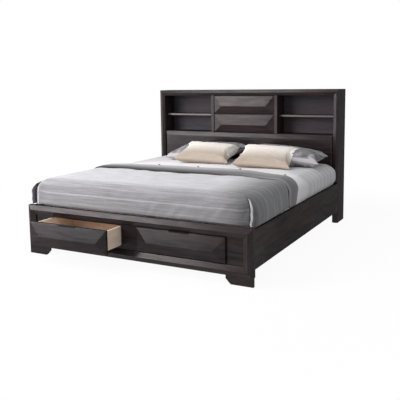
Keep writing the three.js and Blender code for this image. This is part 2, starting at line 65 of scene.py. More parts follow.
def unevenness(x, y, z, size, seed):
    return noise.noise(Vector((x / size + seed, y / size - seed, z / size + 2 * seed)))


def turnedBy(**angles):
    # a turn about each axis named, in that order
    turn = Matrix.Identity(4)
    for axis, angle in angles.items():
        turn @= Matrix.Rotation(angle, 4, axis)
    return turn


def makeMesh(name, points, faces, material):
    mesh = bpy.data.meshes.new(name)
    mesh.from_pydata([tuple(point) for point in points], [], faces)
    mesh.validate()
    mesh.polygons.foreach_set("use_smooth", [True] * len(mesh.polygons))
    mesh.materials.append(material)
    piece = bpy.data.objects.new(name, mesh)
    scene.collection.objects.link(piece)
    return piece


def readPoints(mesh):
    points = np.empty(len(mesh.vertices) * 3)
    mesh.vertices.foreach_get("co", points)
    return points.reshape(-1, 3)


def writePoints(mesh, points):
    mesh.vertices.foreach_set("co", np.asarray(points, float).ravel())
    mesh.update()


def storeOnPoints(piece, name, values):
    values = np.asarray(values, np.float32)
    kind, field = ("FLOAT_VECTOR", "vector") if values.ndim == 2 else ("FLOAT", "value")
    piece.data.attributes.new(name, kind, "POINT").data.foreach_set(field, values.ravel())


def addGroup(piece, name, weights):
    group = piece.vertex_groups.new(name=name)
    for index, weight in enumerate(weights):
        group.add([index], float(weight), "REPLACE")


def addSubdivision(piece):
    modifier = piece.modifiers.new("softer", "SUBSURF")
    modifier.levels = modifier.render_levels = 1


def gridFaces(rows, columns):
    corners = [row * columns + column for row in range(rows - 1) for column in range(columns - 1)]
    return [(corner, corner + 1, corner + columns + 1, corner + columns) for corner in corners]


def tubeFaces(start, sides, steps, flip=False):
    # closed sections that follow each other, with a cap at each end
    faces = []
    for step in range(steps):
        for side in range(sides):
            a, b = (start + step * sides + corner for corner in (side, (side + 1) % sides))
            faces.append((a, b, b + sides, a + sides))
    faces.append(tuple(range(start, start + sides))[::-1])
    faces.append(tuple(range(start + steps * sides, start + (steps + 1) * sides)))
    return [face[::-1] for face in faces] if flip else faces


clothHabits = {"airDamping": 2, "shearPart": 3}


def settleCloth(piece, cloth):
    # the cloth swells and creases for some frames, and no point goes further than its reach
    start = readPoints(piece.data)
    modifier = piece.modifiers.new("settling", "CLOTH")
    settings = modifier.settings
    settings.quality = cloth["quality"]
    settings.mass = cloth["mass"]
    settings.air_damping = clothHabits["airDamping"]
    settings.tension_stiffness = cloth["tension"]
    settings.compression_stiffness = cloth["tension"]
    settings.shear_stiffness = cloth["tension"] / clothHabits["shearPart"]
    settings.bending_stiffness = cloth["bending"]
    settings.effector_weights.gravity = 0
    settings.use_pressure = cloth["pressure"] > 0
    settings.uniform_pressure_force = cloth["pressure"]
    settings.shrink_min, settings.shrink_max = cloth["shrink"]
    settings.vertex_group_shrink = "ease"
    if "pin" in piece.vertex_groups:
        settings.vertex_group_mass = "pin"
        settings.pin_stiffness = 1
    modifier.collision_settings.use_collision = False
    scene.frame_start, scene.frame_end = 1, cloth["frames"]
    modifier.point_cache.frame_start, modifier.point_cache.frame_end = 1, cloth["frames"]
    for step in range(1, cloth["frames"] + 1):
        scene.frame_set(step)
    shown = piece.evaluated_get(bpy.context.evaluated_depsgraph_get())
    settled = readPoints(shown.to_mesh())
    shown.to_mesh_clear()
    piece.modifiers.remove(modifier)
    scene.frame_set(1)
    move = settled - start
    length = np.linalg.norm(move, axis=1, keepdims=True)
    writePoints(piece.data, start + move * np.minimum(1, cloth["reach"] / np.maximum(length, leastLength)))


# camera, at the place that the photograph was taken from

photoCamera = {
    "place": (2.6765, -4.8784, 1.4523),
    "turn": 0.4938,
    "dip": 0.1291,
    "roll": -0.0139,
    "focalShare": 602.97 / 400,
    "shiftDown": 0.1,
    "sensor": 36,
}


def makeCamera():
    turn, dip, roll = photoCamera["turn"], photoCamera["dip"], photoCamera["roll"]
    ahead = Vector((-sin(turn) * cos(dip), cos(turn) * cos(dip), -sin(dip)))
    level = Vector((cos(turn), sin(turn), 0))
    upright = level.cross(ahead)
    right = level * cos(roll) + upright * sin(roll)
    up = upright * cos(roll) - level * sin(roll)
    data = bpy.data.cameras.new("photoCamera")
    data.sensor_width = photoCamera["sensor"]
    data.lens = photoCamera["sensor"] * photoCamera["focalShare"]
    data.shift_y = -photoCamera["shiftDown"]
    camera = bpy.data.objects.new("photoCamera", data)
    camera.matrix_world = Matrix.Translation(photoCamera["place"]) @ Matrix(
        (right, up, -ahead)).transposed().to_4x4()
    scene.collection.objects.link(camera)
    scene.camera = camera


makeCamera()
print("camera placed")


# node helpers

def fillSockets(tree, sockets, values):
    # links an output and sets a plain value; a colour is given without its alpha
    for key, value in values.items():
        if isinstance(value, bpy.types.NodeSocket):
            tree.links.new(value, sockets[key])
        else:
            sockets[key].default_value = (*value, 1) if sockets[key].type == "RGBA" else value


def addNode(tree, kind, inputs=None, **settings):
    made = tree.nodes.new("ShaderNode" + kind)
    for key, value in settings.items():
        setattr(made, key, value)
    fillSockets(tree, made.inputs, inputs or {})
    return made


def doMath(tree, operation, first, second=0, third=0):
    return addNode(tree, "Math", {0: first, 1: second, 2: third}, operation=operation).outputs[0]


def multiply(tree, first, second):
    return doMath(tree, "MULTIPLY", first, second)


def blendValues(tree, share, first, second):
    return doMath(tree, "MULTIPLY_ADD", second, share, multiply(tree, first, 1 - share))


def mapRange(tree, value, low, high, start=0, end=1):
    return addNode(tree, "MapRange", {
        "Value": value, "From Min": low, "From Max": high, "To Min": start, "To Max": end}).outputs[0]


def mixColours(tree, factor, first, second, blend="MIX"):
    made = addNode(tree, "Mix", {0: factor, 6: first, 7: second}, data_type="RGBA", blend_type=blend)
    return made.outputs[2]


def multiplyColours(tree, first, second):
    return mixColours(tree, 1, first, second, "MULTIPLY")


def stretched(tree, place, scale, turn=0, shift=(0, 0, 0)):
    return addNode(tree, "Mapping", {
        "Vector": place, "Scale": scale, "Rotation": (0, 0, turn), "Location": shift}).outputs[0]


def makeNoise(tree, place, scale=1, detail=2, roughness=0.5, distortion=0):
    return addNode(tree, "TexNoise", {
        "Vector": place, "Scale": scale, "Detail": detail, "Roughness": roughness,
        "Distortion": distortion}).outputs[0]


def splitPlace(tree, place):
    return addNode(tree, "SeparateXYZ", {0: place}).outputs


def objectPlace(tree):
    return addNode(tree, "TexCoord").outputs["Object"]


def makeRamp(tree, factor, stops):
    ramp = addNode(tree, "ValToRGB", {0: factor})
    elements = ramp.color_ramp.elements
    while len(elements) < len(stops):
        elements.new(0.5)
    for element, (place, colour) in zip(elements, stops):
        element.position = place
        element.color = (*colour, 1)
    return ramp.outputs[0]


def newGroup(name, inputs, outputs):
    # both are given as the kinds of sockets, each with its labels
    tree = bpy.data.node_groups.new(name, "ShaderNodeTree")
    for way, kinds in (("INPUT", inputs), ("OUTPUT", outputs)):
        for kind, labels in kinds.items():
            for label in labels:
                tree.interface.new_socket(name=label, in_out=way, socket_type="NodeSocket" + kind)
    return tree, tree.nodes.new("NodeGroupInput").outputs, tree.nodes.new("NodeGroupOutput").inputs


def useGroup(tree, group, inputs):
    return addNode(tree, "Group", inputs, node_tree=group).outputs


def grey(value):
    return (value, value, value)


# shared effects

grainForm = {
    "figureDetail": 6,
    "figureRoughness": 0.62,
    "figureBend": 0.9,
    "poreDetail": 3,
    "poreRoughness": 0.7,
    "boardShift": (3.1, 7.7, 1.9),
    "boardShare": 0.3,
    "boardDetail": 3,
    "streaks": (0.32, 0.7),
    "pits": (0.52, 0.68),
    "glow": (0.45, 0.68),
    "pitDepth": 0.45,
}


def makeGrainGroup():
    form = grainForm
    tree, given, put = newGroup("woodGrain", {
        "Vector": ["Place"], "Color": ["Dark", "Light", "Warm"],
        "Float": ["Warm Share", "Figure Size", "Pore Size"],
    }, {"Color": ["Colour"], "Float": ["Figure", "Pores"]})
    figure = makeNoise(tree, given["Place"], given["Figure Size"], form["figureDetail"],
                       form["figureRoughness"], form["figureBend"])
    pores = makeNoise(tree, given["Place"], given["Pore Size"], form["poreDetail"], form["poreRoughness"])
    shifted = addNode(tree, "VectorMath", {0: given["Place"], 1: form["boardShift"]}, operation="ADD")
    boardSize = multiply(tree, given["Figure Size"], form["boardShare"])
    board = makeNoise(tree, shifted.outputs[0], boardSize, form["boardDetail"])
    streak = mapRange(tree, figure, *form["streaks"])
    pit = mapRange(tree, pores, *form["pits"])
    glow = multiply(tree, mapRange(tree, board, *form["glow"]), given["Warm Share"])
    colour = mixColours(tree, streak, given["Dark"], given["Light"])
    warmed = mixColours(tree, glow, colour, given["Warm"])
    shaded = mixColours(tree, multiply(tree, pit, form["pitDepth"]), warmed, given["Dark"])
    fillSockets(tree, put, {"Colour": shaded, "Figure": streak, "Pores": pit})
    return tree


wearForm = {"samples": 6, "edge": (0.99, 0.8), "rubScale": 26, "rubDetail": 5, "rub": (0.4, 0.65)}


def makeWearGroup():
    form = wearForm
    tree, given, put = newGroup("edgeWear", {"Float": ["Radius", "Amount"]}, {"Float": ["Mask"]})
    rounded = addNode(tree, "Bevel", {"Radius": given["Radius"]}, samples=form["samples"])
    straight = addNode(tree, "NewGeometry").outputs["Normal"]
    turned = addNode(tree, "VectorMath", {0: rounded.outputs[0], 1: straight}, operation="DOT_PRODUCT")
    edge = mapRange(tree, turned.outputs["Value"], *form["edge"])
    rub = makeNoise(tree, objectPlace(tree), form["rubScale"], form["rubDetail"])
    worn = multiply(tree, edge, mapRange(tree, rub, *form["rub"]))
    fillSockets(tree, put, {"Mask": multiply(tree, worn, given["Amount"])})
    return tree


weaveForm = {
    "weft": (14, 420, 1),
    "weftDetail": 3,
    "warp": (300, 20, 1),
    "warpShift": (3, 5, 0),
    "warpShare": 0.5,
    "mottle": (60, 95, 1),
    "mottleShare": 0.4,
    "slubs": (0.35, 0.65),
}


def makeWeaveGroup():
    form = weaveForm
    tree, given, put = newGroup("clothWeave", {
        "Vector": ["Place"], "Float": ["Thread", "Slub Amount"]}, {"Float": ["Threads", "Tone"]})
    parts = splitPlace(tree, given["Place"])
    turns = doMath(tree, "DIVIDE", pi, given["Thread"])
    across, along = (doMath(tree, "SINE", multiply(tree, parts[axis], turns)) for axis in (0, 1))
    threads = mapRange(tree, multiply(tree, across, along), -1, 1)
    weft = makeNoise(tree, stretched(tree, given["Place"], form["weft"]), detail=form["weftDetail"])
    warp = makeNoise(tree, stretched(tree, given["Place"], form["warp"], shift=form["warpShift"]))
    mottle = makeNoise(tree, stretched(tree, given["Place"], form["mottle"]))
    threaded = blendValues(tree, form["warpShare"], weft, warp)
    both = blendValues(tree, form["mottleShare"], threaded, mottle)
    swing = multiply(tree, mapRange(tree, both, *form["slubs"], -1, 1), given["Slub Amount"])
    fillSockets(tree, put, {"Threads": threads, "Tone": doMath(tree, "ADD", swing, 1)})
    return tree


stripeForm = {"acrossScale": 3, "lineDetail": 3, "lines": (0.32, 0.68), "edge": (0.35, 0.75), "faint": 0.4}


def makeStripeGroup():
    # fine lines and thin light stripes that run across the bed, at even steps along it
    form = stripeForm
    tree, given, put = newGroup("wovenStripes", {"Vector": ["Place"], "Float": [
        "Line Count", "Line Amount", "Stripe Step", "Stripe Start", "Stripe Width", "Stripe Amount",
    ]}, {"Float": ["Tone"]})
    along = splitPlace(tree, given["Place"])[1]
    spread = addNode(tree, "CombineXYZ", {0: form["acrossScale"], 1: given["Line Count"], 2: 1}).outputs[0]
    lineSpace = addNode(tree, "VectorMath", {0: given["Place"], 1: spread}, operation="MULTIPLY")
    drawn = makeNoise(tree, lineSpace.outputs[0], detail=form["lineDetail"])
    line = multiply(tree, mapRange(tree, drawn, *form["lines"], -1, 1), given["Line Amount"])
    travel = doMath(tree, "SUBTRACT", along, given["Stripe Start"])
    steps = doMath(tree, "DIVIDE", travel, given["Stripe Step"])
    fromStripe = doMath(tree, "ABSOLUTE", doMath(tree, "SUBTRACT", doMath(tree, "FRACT", steps), 0.5))
    metres = multiply(tree, fromStripe, given["Stripe Step"])
    between = doMath(tree, "SUBTRACT", multiply(tree, given["Stripe Step"], 0.5), metres)
    full, faint = (
        mapRange(tree, doMath(tree, "DIVIDE", gap, given["Stripe Width"]), *form["edge"], most, 0)
        for gap, most in ((metres, 1), (between, form["faint"])))
    stripe = multiply(tree, doMath(tree, "ADD", full, faint), given["Stripe Amount"])
    fillSockets(tree, put, {"Tone": doMath(tree, "ADD", doMath(tree, "ADD", line, stripe), 1)})
    return tree


woodGrain = makeGrainGroup()
edgeWear = makeWearGroup()
clothWeave = makeWeaveGroup()
wovenStripes = makeStripeGroup()


# finishes

def startMaterial(name):
    material = bpy.data.materials.new(name)
    material.use_nodes = True
    tree = material.node_tree
    return material, tree, tree.nodes["Principled BSDF"].inputs


def addBump(tree, height, strength, distance):
    return addNode(tree, "Bump", {
        "Height": height, "Strength": strength, "Distance": distance}).outputs[0]


def placeGrain(tree, finish, run):
    return useGroup(tree, woodGrain, {
        "Place": stretched(tree, objectPlace(tree), run), "Dark": finish["dark"], "Light": finish["light"],
        "Warm": finish["warm"], "Warm Share": finish["warmShare"], "Figure Size": finish["figure"],
        "Pore Size": finish["pores"]})


darkStain = {
    "dark": (0.0096, 0.0072, 0.0083),
    "light": (0.0250, 0.0190, 0.0212),
    "warm": (0.0410, 0.0240, 0.0225),
    "warmShare": 0.5,
    "figure": 30,
    "pores": 420,
    "worn": (0.046, 0.034, 0.034),
    "wear": {"Radius": 0.003, "Amount": 0.5},
    "frontFaceTone": (0.125, 0.105, 0.100),
    "frontFaceFrom": (-0.5, -0.7),
    "roughness": (0.45, 0.60),
    "bump": (0.12, 0.0006),
}
varnish = {
    "ior": 1.29,
    "roughness": 0.21,
    "fades": (0.45, 0.66),
    "weight": (1, 0.14),
    "inPores": 0.55,
    "overFigure": (0.25, 0.75, 0.76, 1),
}
grainRuns = {"across": (0.12, 1, 1), "up": (1, 1, 0.12), "along": (1, 0.12, 1)}


def makeDarkWood(run, lighterFront=False):
    material, tree, surface = startMaterial("darkWood" + run.capitalize() + ("LighterFront" if lighterFront else ""))
    grain = placeGrain(tree, darkStain, grainRuns[run])
    wear = useGroup(tree, edgeWear, darkStain["wear"])
    colour = mixColours(tree, wear["Mask"], grain["Colour"], darkStain["worn"])
    if lighterFront:
        # lighter on the faces that look to the front
        front = splitPlace(tree, addNode(tree, "NewGeometry").outputs["Normal"])[1]
        atFront = mapRange(tree, front, *darkStain["frontFaceFrom"])
        colour = mixColours(tree, atFront, colour, darkStain["frontFaceTone"])
    facing = addNode(tree, "LayerWeight").outputs["Facing"]
    gloss = mapRange(tree, facing, *varnish["fades"], *varnish["weight"])
    dulled = multiply(tree, mapRange(tree, grain["Pores"], 0, 1, 1, varnish["inPores"]),
                      mapRange(tree, grain["Figure"], *varnish["overFigure"]))
    fillSockets(tree, surface, {
        "Base Color": colour,
        "Roughness": mapRange(tree, grain["Figure"], 0, 1, *darkStain["roughness"]),
        "Specular IOR Level": 0,
        "Coat IOR": varnish["ior"],
        "Coat Roughness": varnish["roughness"],
        "Coat Weight": multiply(tree, gloss, dulled),
        "Normal": addBump(tree, grain["Pores"], *darkStain["bump"]),
    })
    return material


lengthRun, plyRun = (1, 0.14, 1), (0.12, 1, 1)
paleWoods = {
    "drawer_wood": {
        "dark": (0.78, 0.61, 0.48), "light": (0.94, 0.80, 0.68), "warm": (0.88, 0.67, 0.52),
        "run": lengthRun, "roughness": 0.6},
    "slat_wood": {
        "dark": (0.42, 0.30, 0.18), "light": (0.62, 0.48, 0.32), "warm": (0.52, 0.34, 0.20),
        "run": lengthRun, "roughness": 0.6},
    "back_ply": {
        "dark": (0.030, 0.029, 0.038), "light": (0.058, 0.053, 0.065), "warm": (0.074, 0.044, 0.043),
        "run": plyRun, "roughness": 0.65},
}
paleWoodGrain = {"warmShare": 0.5, "figure": 26, "pores": 300, "gloss": 0.2, "bump": (0.15, 0.0005)}


def makePaleWood(slot):
    finish = {**paleWoods[slot], **paleWoodGrain}
    material, tree, surface = startMaterial(slot)
    grain = placeGrain(tree, finish, finish["run"])
    fillSockets(tree, surface, {
        "Base Color": grain["Colour"],
        "Roughness": finish["roughness"],
        "Specular IOR Level": finish["gloss"],
        "Normal": addBump(tree, grain["Pores"], *finish["bump"]),
    })
    return material


pullMetal = {
    "colour": (0.006, 0.0055, 0.0055),
    "worn": (0.03, 0.028, 0.026),
    "wear": {"Radius": 0.0015, "Amount": 0.3},
    "lines": (20, 900, 900),
    "roughness": (0.35, 0.55),
    "metallic": 0.5,
    "gloss": 0.2,
}


def makePullMetal():
    material, tree, surface = startMaterial("pull_metal")
    lines = makeNoise(tree, stretched(tree, objectPlace(tree), pullMetal["lines"]))
    wear = useGroup(tree, edgeWear, pullMetal["wear"])
    fillSockets(tree, surface, {
        "Base Color": mixColours(tree, wear["Mask"], pullMetal["colour"], pullMetal["worn"]),
        "Roughness": mapRange(tree, lines, 0, 1, *pullMetal["roughness"]),
        "Metallic": pullMetal["metallic"],
        "Specular IOR Level": pullMetal["gloss"],
    })
    return material


clothFinish = {
    "roughness": 0.85,
    "gloss": 0.15,
    "sheen": 0.12,
    "sheenRoughness": 0.5,
    "bump": (0.3, 0.0005),
}


def makeCloth(name, colour, tones):
    # colour is a function of the tree and the cloth's own place, and gives a colour socket
    material, tree, surface = startMaterial(name)
    place = addNode(tree, "Attribute", attribute_name="clothPlace").outputs["Vector"]
    weave = useGroup(tree, clothWeave, {"Place": place, **tones["threads"]})
    fillSockets(tree, surface, {
        "Base Color": multiplyColours(tree, colour(tree, place), weave["Tone"]),
        "Roughness": clothFinish["roughness"],
        "Specular IOR Level": clothFinish["gloss"],
        "Sheen Weight": clothFinish["sheen"],
        "Sheen Roughness": clothFinish["sheenRoughness"],
        "Normal": addBump(tree, weave["Threads"], *clothFinish["bump"]),
    })
    return material


# tones of the woven cloths: zones along the bed in metres, with a darker tone where the cloth turns down,
# which is painted shade; on the right it takes over further in, painted shade from light at the left
duvetTones = {
    "length": 1.6,
    # the top zones are darker down the foot and the side zones darkest near the foot corners: painted shade
    "top": [(0, 0.27), (0.17, 0.31), (0.22, 0.30), (0.25, 0.37), (0.275, 0.46), (0.32, 0.54),
            (0.90, 0.54), (1.6, 0.50)],
    "side": [(0, 0.07), (0.14, 0.08), (0.22, 0.12), (0.40, 0.17), (1.6, 0.18)],
    "turn": {"right": (0.72, 1.02), "left": (0.98, 1.08), "shadeLead": 0.14},
    "topStripe": [(0, 0.40), (0.16, 0.40), (0.26, 0.06), (1.6, 0.06)],
    "sideStripe": [(0, 0.46), (1.6, 0.46)],
    "lines": {"Line Count": 85, "Line Amount": 0.18, "Stripe Step": 0.158, "Stripe Start": 0.036,
              "Stripe Width": 0.011},
    "tint": (0.985, 0.995, 1.045),
    "lining": ((0.60, 0.60, 0.62), (0.46, 0.46, 0.48)),
    "hemEdge": (0.45, 0.55),
    "threads": {"Thread": 0.0016, "Slub Amount": 0.10},
}
cuffTones = {
    "length": 0.5,
    # the turned end darkens towards its lip, painted shade of the roll, and turns dark over the fold's
    # crest, a painted shadow of the fold; on the side the dark lip line is painted shadow, and the whole
    # end darkens towards the right, painted shade
    "top": [(0, 0.028), (0.06, 0.036), (0.10, 0.070), (0.16, 0.14), (0.22, 0.25), (0.29, 0.36),
            (0.34, 0.41), (0.40, 0.40), (0.412, 0.13), (0.5, 0.13)],
    "side": [(0, 0.11), (0.05, 0.24), (0.09, 0.21), (0.12, 0.14), (0.40, 0.165), (0.5, 0.12)],
    "turn": {"right": (0.15, 1.04), "left": (0.96, 1.08), "shadeLead": 0},
    "topStripe": [(0, 0.03), (0.5, 0.03)],
    "sideStripe": [(0, 0.16), (0.5, 0.16)],
    "lines": {"Line Count": 120, "Line Amount": 0.07, "Stripe Step": 0.032, "Stripe Start": 0,
              "Stripe Width": 0.006},
    "tint": (0.995, 0.995, 1.04),
    "lining": (grey(0.8), grey(0.8)),
    "hemEdge": (0.45, 0.55),
    "threads": {"Thread": 0.0016, "Slub Amount": 0.10},
}
sheetTones = {
    "length": 2.2,
    "top": [(0, 0.66), (2.2, 0.62)],
    "side": [(0, 0.62), (1.10, 0.58), (1.22, 0.40), (2.2, 0.38)],
    # the sheet darkens across the bed towards the right: painted shade
    "turn": {"right": (0.10, 0.85), "left": (0.80, 1.02), "shadeLead": 0},
    "topStripe": [(0, 0), (1.16, 0), (1.25, 0.05), (2.2, 0.05)],
    "sideStripe": [(0, 0), (1.16, 0), (1.25, 0.3), (2.2, 0.3)],
    "lines": {"Line Count": 40, "Line Amount": 0.03, "Stripe Step": 0.108, "Stripe Start": 0.001,
              "Stripe Width": 0.06},
    "tint": (0.995, 0.995, 1.03),
    "lining": ((0.80, 0.795, 0.805), (0.70, 0.695, 0.705)),
    "hemEdge": (0, 1),
    "threads": {"Thread": 0.0016, "Slub Amount": 0.05},
}
shadeLeadAlong, liningShadeAcross = (0.16, 0.30), (-0.5, 0.5)


def wovenColour(tones):
    def colour(tree, place):
        across, along = splitPlace(tree, place)[:2]
        turn = tones["turn"]
        share = doMath(tree, "DIVIDE", along, tones["length"])
        top, side, topStripe, sideStripe = (
            makeRamp(tree, share, [(at / tones["length"], grey(bright)) for at, bright in tones[zone]])
            for zone in ("top", "side", "topStripe", "sideStripe"))
        # the side tone is painted shade: it takes over where the cloth turns down, further in on the right,
        # and by the shade lead further in on the top than down the foot
        shadeLead = mapRange(tree, along, *shadeLeadAlong, 0, turn["shadeLead"])
        rightShade = mapRange(tree, doMath(tree, "ADD", across, shadeLead), *turn["right"])
        leftShade = mapRange(tree, multiply(tree, across, -1), *turn["left"])
        turned = doMath(tree, "MAXIMUM", rightShade, leftShade)
        toneWithShade = mixColours(tree, turned, top, side)
        strength = mixColours(tree, turned, topStripe, sideStripe)
        lines = useGroup(tree, wovenStripes, {"Place": place, "Stripe Amount": strength, **tones["lines"]})
        tinted = multiplyColours(tree, multiplyColours(tree, toneWithShade, lines["Tone"]), tones["tint"])
        hem = addNode(tree, "Attribute", attribute_name="hem").outputs["Fac"]
        # the lining band is darker on the right: painted shade
        lining = mixColours(tree, mapRange(tree, across, *liningShadeAcross), *tones["lining"])
        return mixColours(tree, mapRange(tree, hem, *tones["hemEdge"]), tinted, lining)
    return colour


creamTones = {
    "light": (0.86, 0.815, 0.77),
    "deep": (0.80, 0.745, 0.69),
    # the under tone and the crease darkening are painted shade
    "under": (0.41, 0.350, 0.292),
    "lower": (0.04, -0.15),
    "cloud": (5, 3),
    "creases": (70, 9, 1),
    "creaseShade": (0.35, 0.65, 0.88, 1.05),
    "creaseShaded": (-0.05, -0.20),
    "threads": {"Thread": 0.0014, "Slub Amount": 0.07},
}


# cream cover: light and deep cream at random, darker creases over the lower front, painted shade in the
# creases, and a darker under tone over the lower front half, painted shade
def creamColour(tree, place):
    tones = creamTones
    cloud = makeNoise(tree, place, *tones["cloud"])
    face = mixColours(tree, cloud, tones["deep"], tones["light"])
    along = splitPlace(tree, place)[1]
    creases = makeNoise(tree, stretched(tree, place, tones["creases"]))
    near = mapRange(tree, along, *tones["creaseShaded"])
    creaseShaded = multiplyColours(tree, face, mapRange(tree, creases, *tones["creaseShade"]))
    shaded = mixColours(tree, near, face, creaseShaded)
    return mixColours(tree, mapRange(tree, along, *tones["lower"]), shaded, tones["under"])


leafTones = {
    "ground": (0.17, 0.17, 0.18),
    "pale": (0.42, 0.41, 0.43),
    "dark": (0.055, 0.055, 0.063),
    "palePlace": ((7, 3, 1), 0.7, (0.4, 0.2, 0)),
    "paleNoise": (1.2, 1, 0.5, 1.4),
    "paleEdge": (0.46, 0.62),
    "darkPlace": ((3, 8, 1), -0.5, (2.4, 1.2, 0)),
    "darkNoise": (1.1, 1, 0.5, 1.8),
    "darkEdge": (0.55, 0.66),
    "band": (-0.215, -0.220),
    "threads": {"Thread": 0.0014, "Slub Amount": 0.06},
}


def leafColour(tree, place):
    # broad pale and dark brush shapes on grey, and a plain band by the front seam
    tones = leafTones
    masks = []
    for kind in ("pale", "dark"):
        brushed = makeNoise(tree, stretched(tree, place, *tones[kind + "Place"]), *tones[kind + "Noise"])
        masks.append(mapRange(tree, brushed, *tones[kind + "Edge"]))
    pale, dark = masks
    printed = mixColours(tree, dark, mixColours(tree, pale, tones["ground"], tones["pale"]), tones["dark"])
    band = mapRange(tree, splitPlace(tree, place)[1], *tones["band"])
    return mixColours(tree, band, printed, tones["pale"])


hornTones = {
    "dark": (0.010, 0.009, 0.009),
    "light": (0.05, 0.042, 0.038),
    "cloud": (160, 3),
    "roughness": (0.3, 0.7, 0.28, 0.42),
}


def makeButtonHorn():
    material, tree, surface = startMaterial("buttonHorn")
    cloudy = makeNoise(tree, objectPlace(tree), *hornTones["cloud"])
    fillSockets(tree, surface, {
        "Base Color": mixColours(tree, cloudy, hornTones["dark"], hornTones["light"]),
        "Roughness": mapRange(tree, cloudy, *hornTones["roughness"]),
    })
    return material


darkWood = {run: makeDarkWood(run) for run in grainRuns}
lighterFrontWood = makeDarkWood("across", lighterFront=True)
slotFinish = {slot: makePaleWood(slot) for slot in paleWoods}
slotFinish["pull_metal"] = makePullMetal()
duvetCloth = makeCloth("duvet_cloth", wovenColour(duvetTones), duvetTones)
cuffCloth = makeCloth("duvet_turned_cloth", wovenColour(cuffTones), cuffTones)
sheetCloth = makeCloth("sheet_cloth", wovenColour(sheetTones), sheetTones)
creamCloth = makeCloth("cream_cloth", creamColour, creamTones)
greyCloth = makeCloth("grey_cloth", leafColour, leafTones)
buttonHorn = makeButtonHorn()
print("finishes made")


# wood pieces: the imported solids, with eased edges and the right run of grain

softNodes = ["mattress", "duvet", "grey_pillow_left", "grey_pillow_right", "cream_pillow_left",
             "cream_pillow_right"]
grainWords = {
    "up": ["post", "moulding_left", "moulding_right", "divider", "leg"],
    "along": ["rail", "side_left", "side_right"],
}
easedEdge = {"width": 0.0011, "segments": 2, "sharperThan": 12, "weld": 0.00002}


def finishWood():
    slots = {entry["node"]: entry["material_slot"] for entry in frame["record"]["subparts"]}
    for name, node in frame["nodes"].items():
        if name in softNodes:
            continue
        finish = slotFinish.get(slots[name])
        if finish is None:
            run = "across"
            for way, words in grainWords.items():
                if any(word in name for word in words):
                    run = way
            finish = lighterFrontWood if "bookcase_shelf" in name else darkWood[run]
        node.data.materials.clear()
        node.data.materials.append(finish)
        joined = node.modifiers.new("joined corners", "WELD")
        joined.merge_threshold = easedEdge["weld"]
        eased = node.modifiers.new("eased edges", "BEVEL")
        eased.width = easedEdge["width"]
        eased.segments = easedEdge["segments"]
        eased.limit_method = "ANGLE"
        eased.angle_limit = radians(easedEdge["sharperThan"])


finishWood()
print("wood finished")


# floor, backdrop and lamps

studio = {
    "ambient": 0.44,
    "floorPaint": (0.24, 0.25),
    "floorCloud": 3,
    "floorRoughness": 0.9,
    "floorLit": 0.9,
    "floorGlow": 0.94,
    "glowReach": (2.2, 3.6),
    "floorHalf": 40,
    "floorBelow": 0.0005,
}
# place, aim, size, watts and colour of each lamp
lamps = {
    "frontLamp": ((-4.2, -5.4, 3.3), (0, -0.4, 0.6), (3.8, 2.2), 312, (1, 0.915, 0.925)),
    "lowLamp": ((-4.1, -6.3, 0.68), (0, -0.6, 0.5), (3.6, 0.9), 92, grey(1)),
    "leftLamp": ((-4.6, -1.7, 0.85), (0, 0.4, 0.7), (3.4, 1.9), 104, grey(1)),
    "upperLamp": ((-2.1, -2.3, 4.3), (0, 0.3, 0.6), (2, 2), 70, grey(1)),
    "topLamp": ((-1, -0.9, 3.9), (0, 0.8, 0.8), (2.4, 2.4), 36, grey(1)),
    "rightLamp": ((4.8, -1.2, 1.3), (0.6, 0.3, 0.5), (2.6, 1.8), 44, grey(1)),
}


def backgroundMix(tree, camera, other):
    # what the camera, mirrors and glass see, and what lights the rest
    path = addNode(tree, "LightPath").outputs
    seen = doMath(tree, "MAXIMUM", path["Is Camera Ray"], path["Is Glossy Ray"])
    seen = doMath(tree, "MAXIMUM", seen, path["Is Transmission Ray"])
    return addNode(tree, "MixShader", {0: seen, 1: other, 2: camera}).outputs[0]


def makeBackdrop():
    world = bpy.data.worlds.new("studioAir")
    world.use_nodes = True
    scene.world = world
    tree = world.node_tree
    tree.nodes.clear()
    white, soft = (
        addNode(tree, "Background", {"Color": grey(1), "Strength": strength}).outputs[0]
        for strength in (1, studio["ambient"]))
    addNode(tree, "OutputWorld", {0: backgroundMix(tree, white, soft)})


def makeFloor():
    material, tree, surface = startMaterial("floorPaint")
    low, high = studio["floorPaint"]
    cloud = addNode(tree, "TexNoise", {"Scale": studio["floorCloud"], "Detail": 2}).outputs[0]
    fillSockets(tree, surface, {
        "Base Color": mixColours(tree, cloud, grey(low), grey(high)),
        "Roughness": studio["floorRoughness"],
        "Specular IOR Level": 0,
    })
    glow = addNode(tree, "Emission", {"Color": grey(1), "Strength": 1}).outputs[0]
    lit = addNode(tree, "BsdfDiffuse", {"Color": grey(studio["floorLit"])}).outputs[0]
    away = addNode(tree, "VectorMath", {0: objectPlace(tree)}, operation="LENGTH").outputs["Value"]
    share = mapRange(tree, away, *studio["glowReach"], studio["floorGlow"], 1)
    brightened = addNode(tree, "MixShader", {0: share, 1: lit, 2: glow}).outputs[0]
    shown = backgroundMix(tree, brightened, tree.nodes["Principled BSDF"].outputs[0])
    fillSockets(tree, tree.nodes["Material Output"].inputs, {"Surface": shown})
    half = studio["floorHalf"]
    corners = [(-half, -half, 0), (half, -half, 0), (half, half, 0), (-half, half, 0)]
    floor = makeMesh("floor", corners, [(0, 1, 2, 3)], material)
    floor.location.z = -studio["floorBelow"]


def makeLamps():
    for name, (place, aim, size, watts, colour) in lamps.items():
        data = bpy.data.lights.new(name, "AREA")
        data.shape = "RECTANGLE"
        data.size, data.size_y = size
        data.energy = watts
        data.color = colour
        piece = bpy.data.objects.new(name, data)
        piece.location = place
        piece.rotation_euler = (Vector(aim) - Vector(place)).to_track_quat("-Z", "Y").to_euler()
        scene.collection.objects.link(piece)


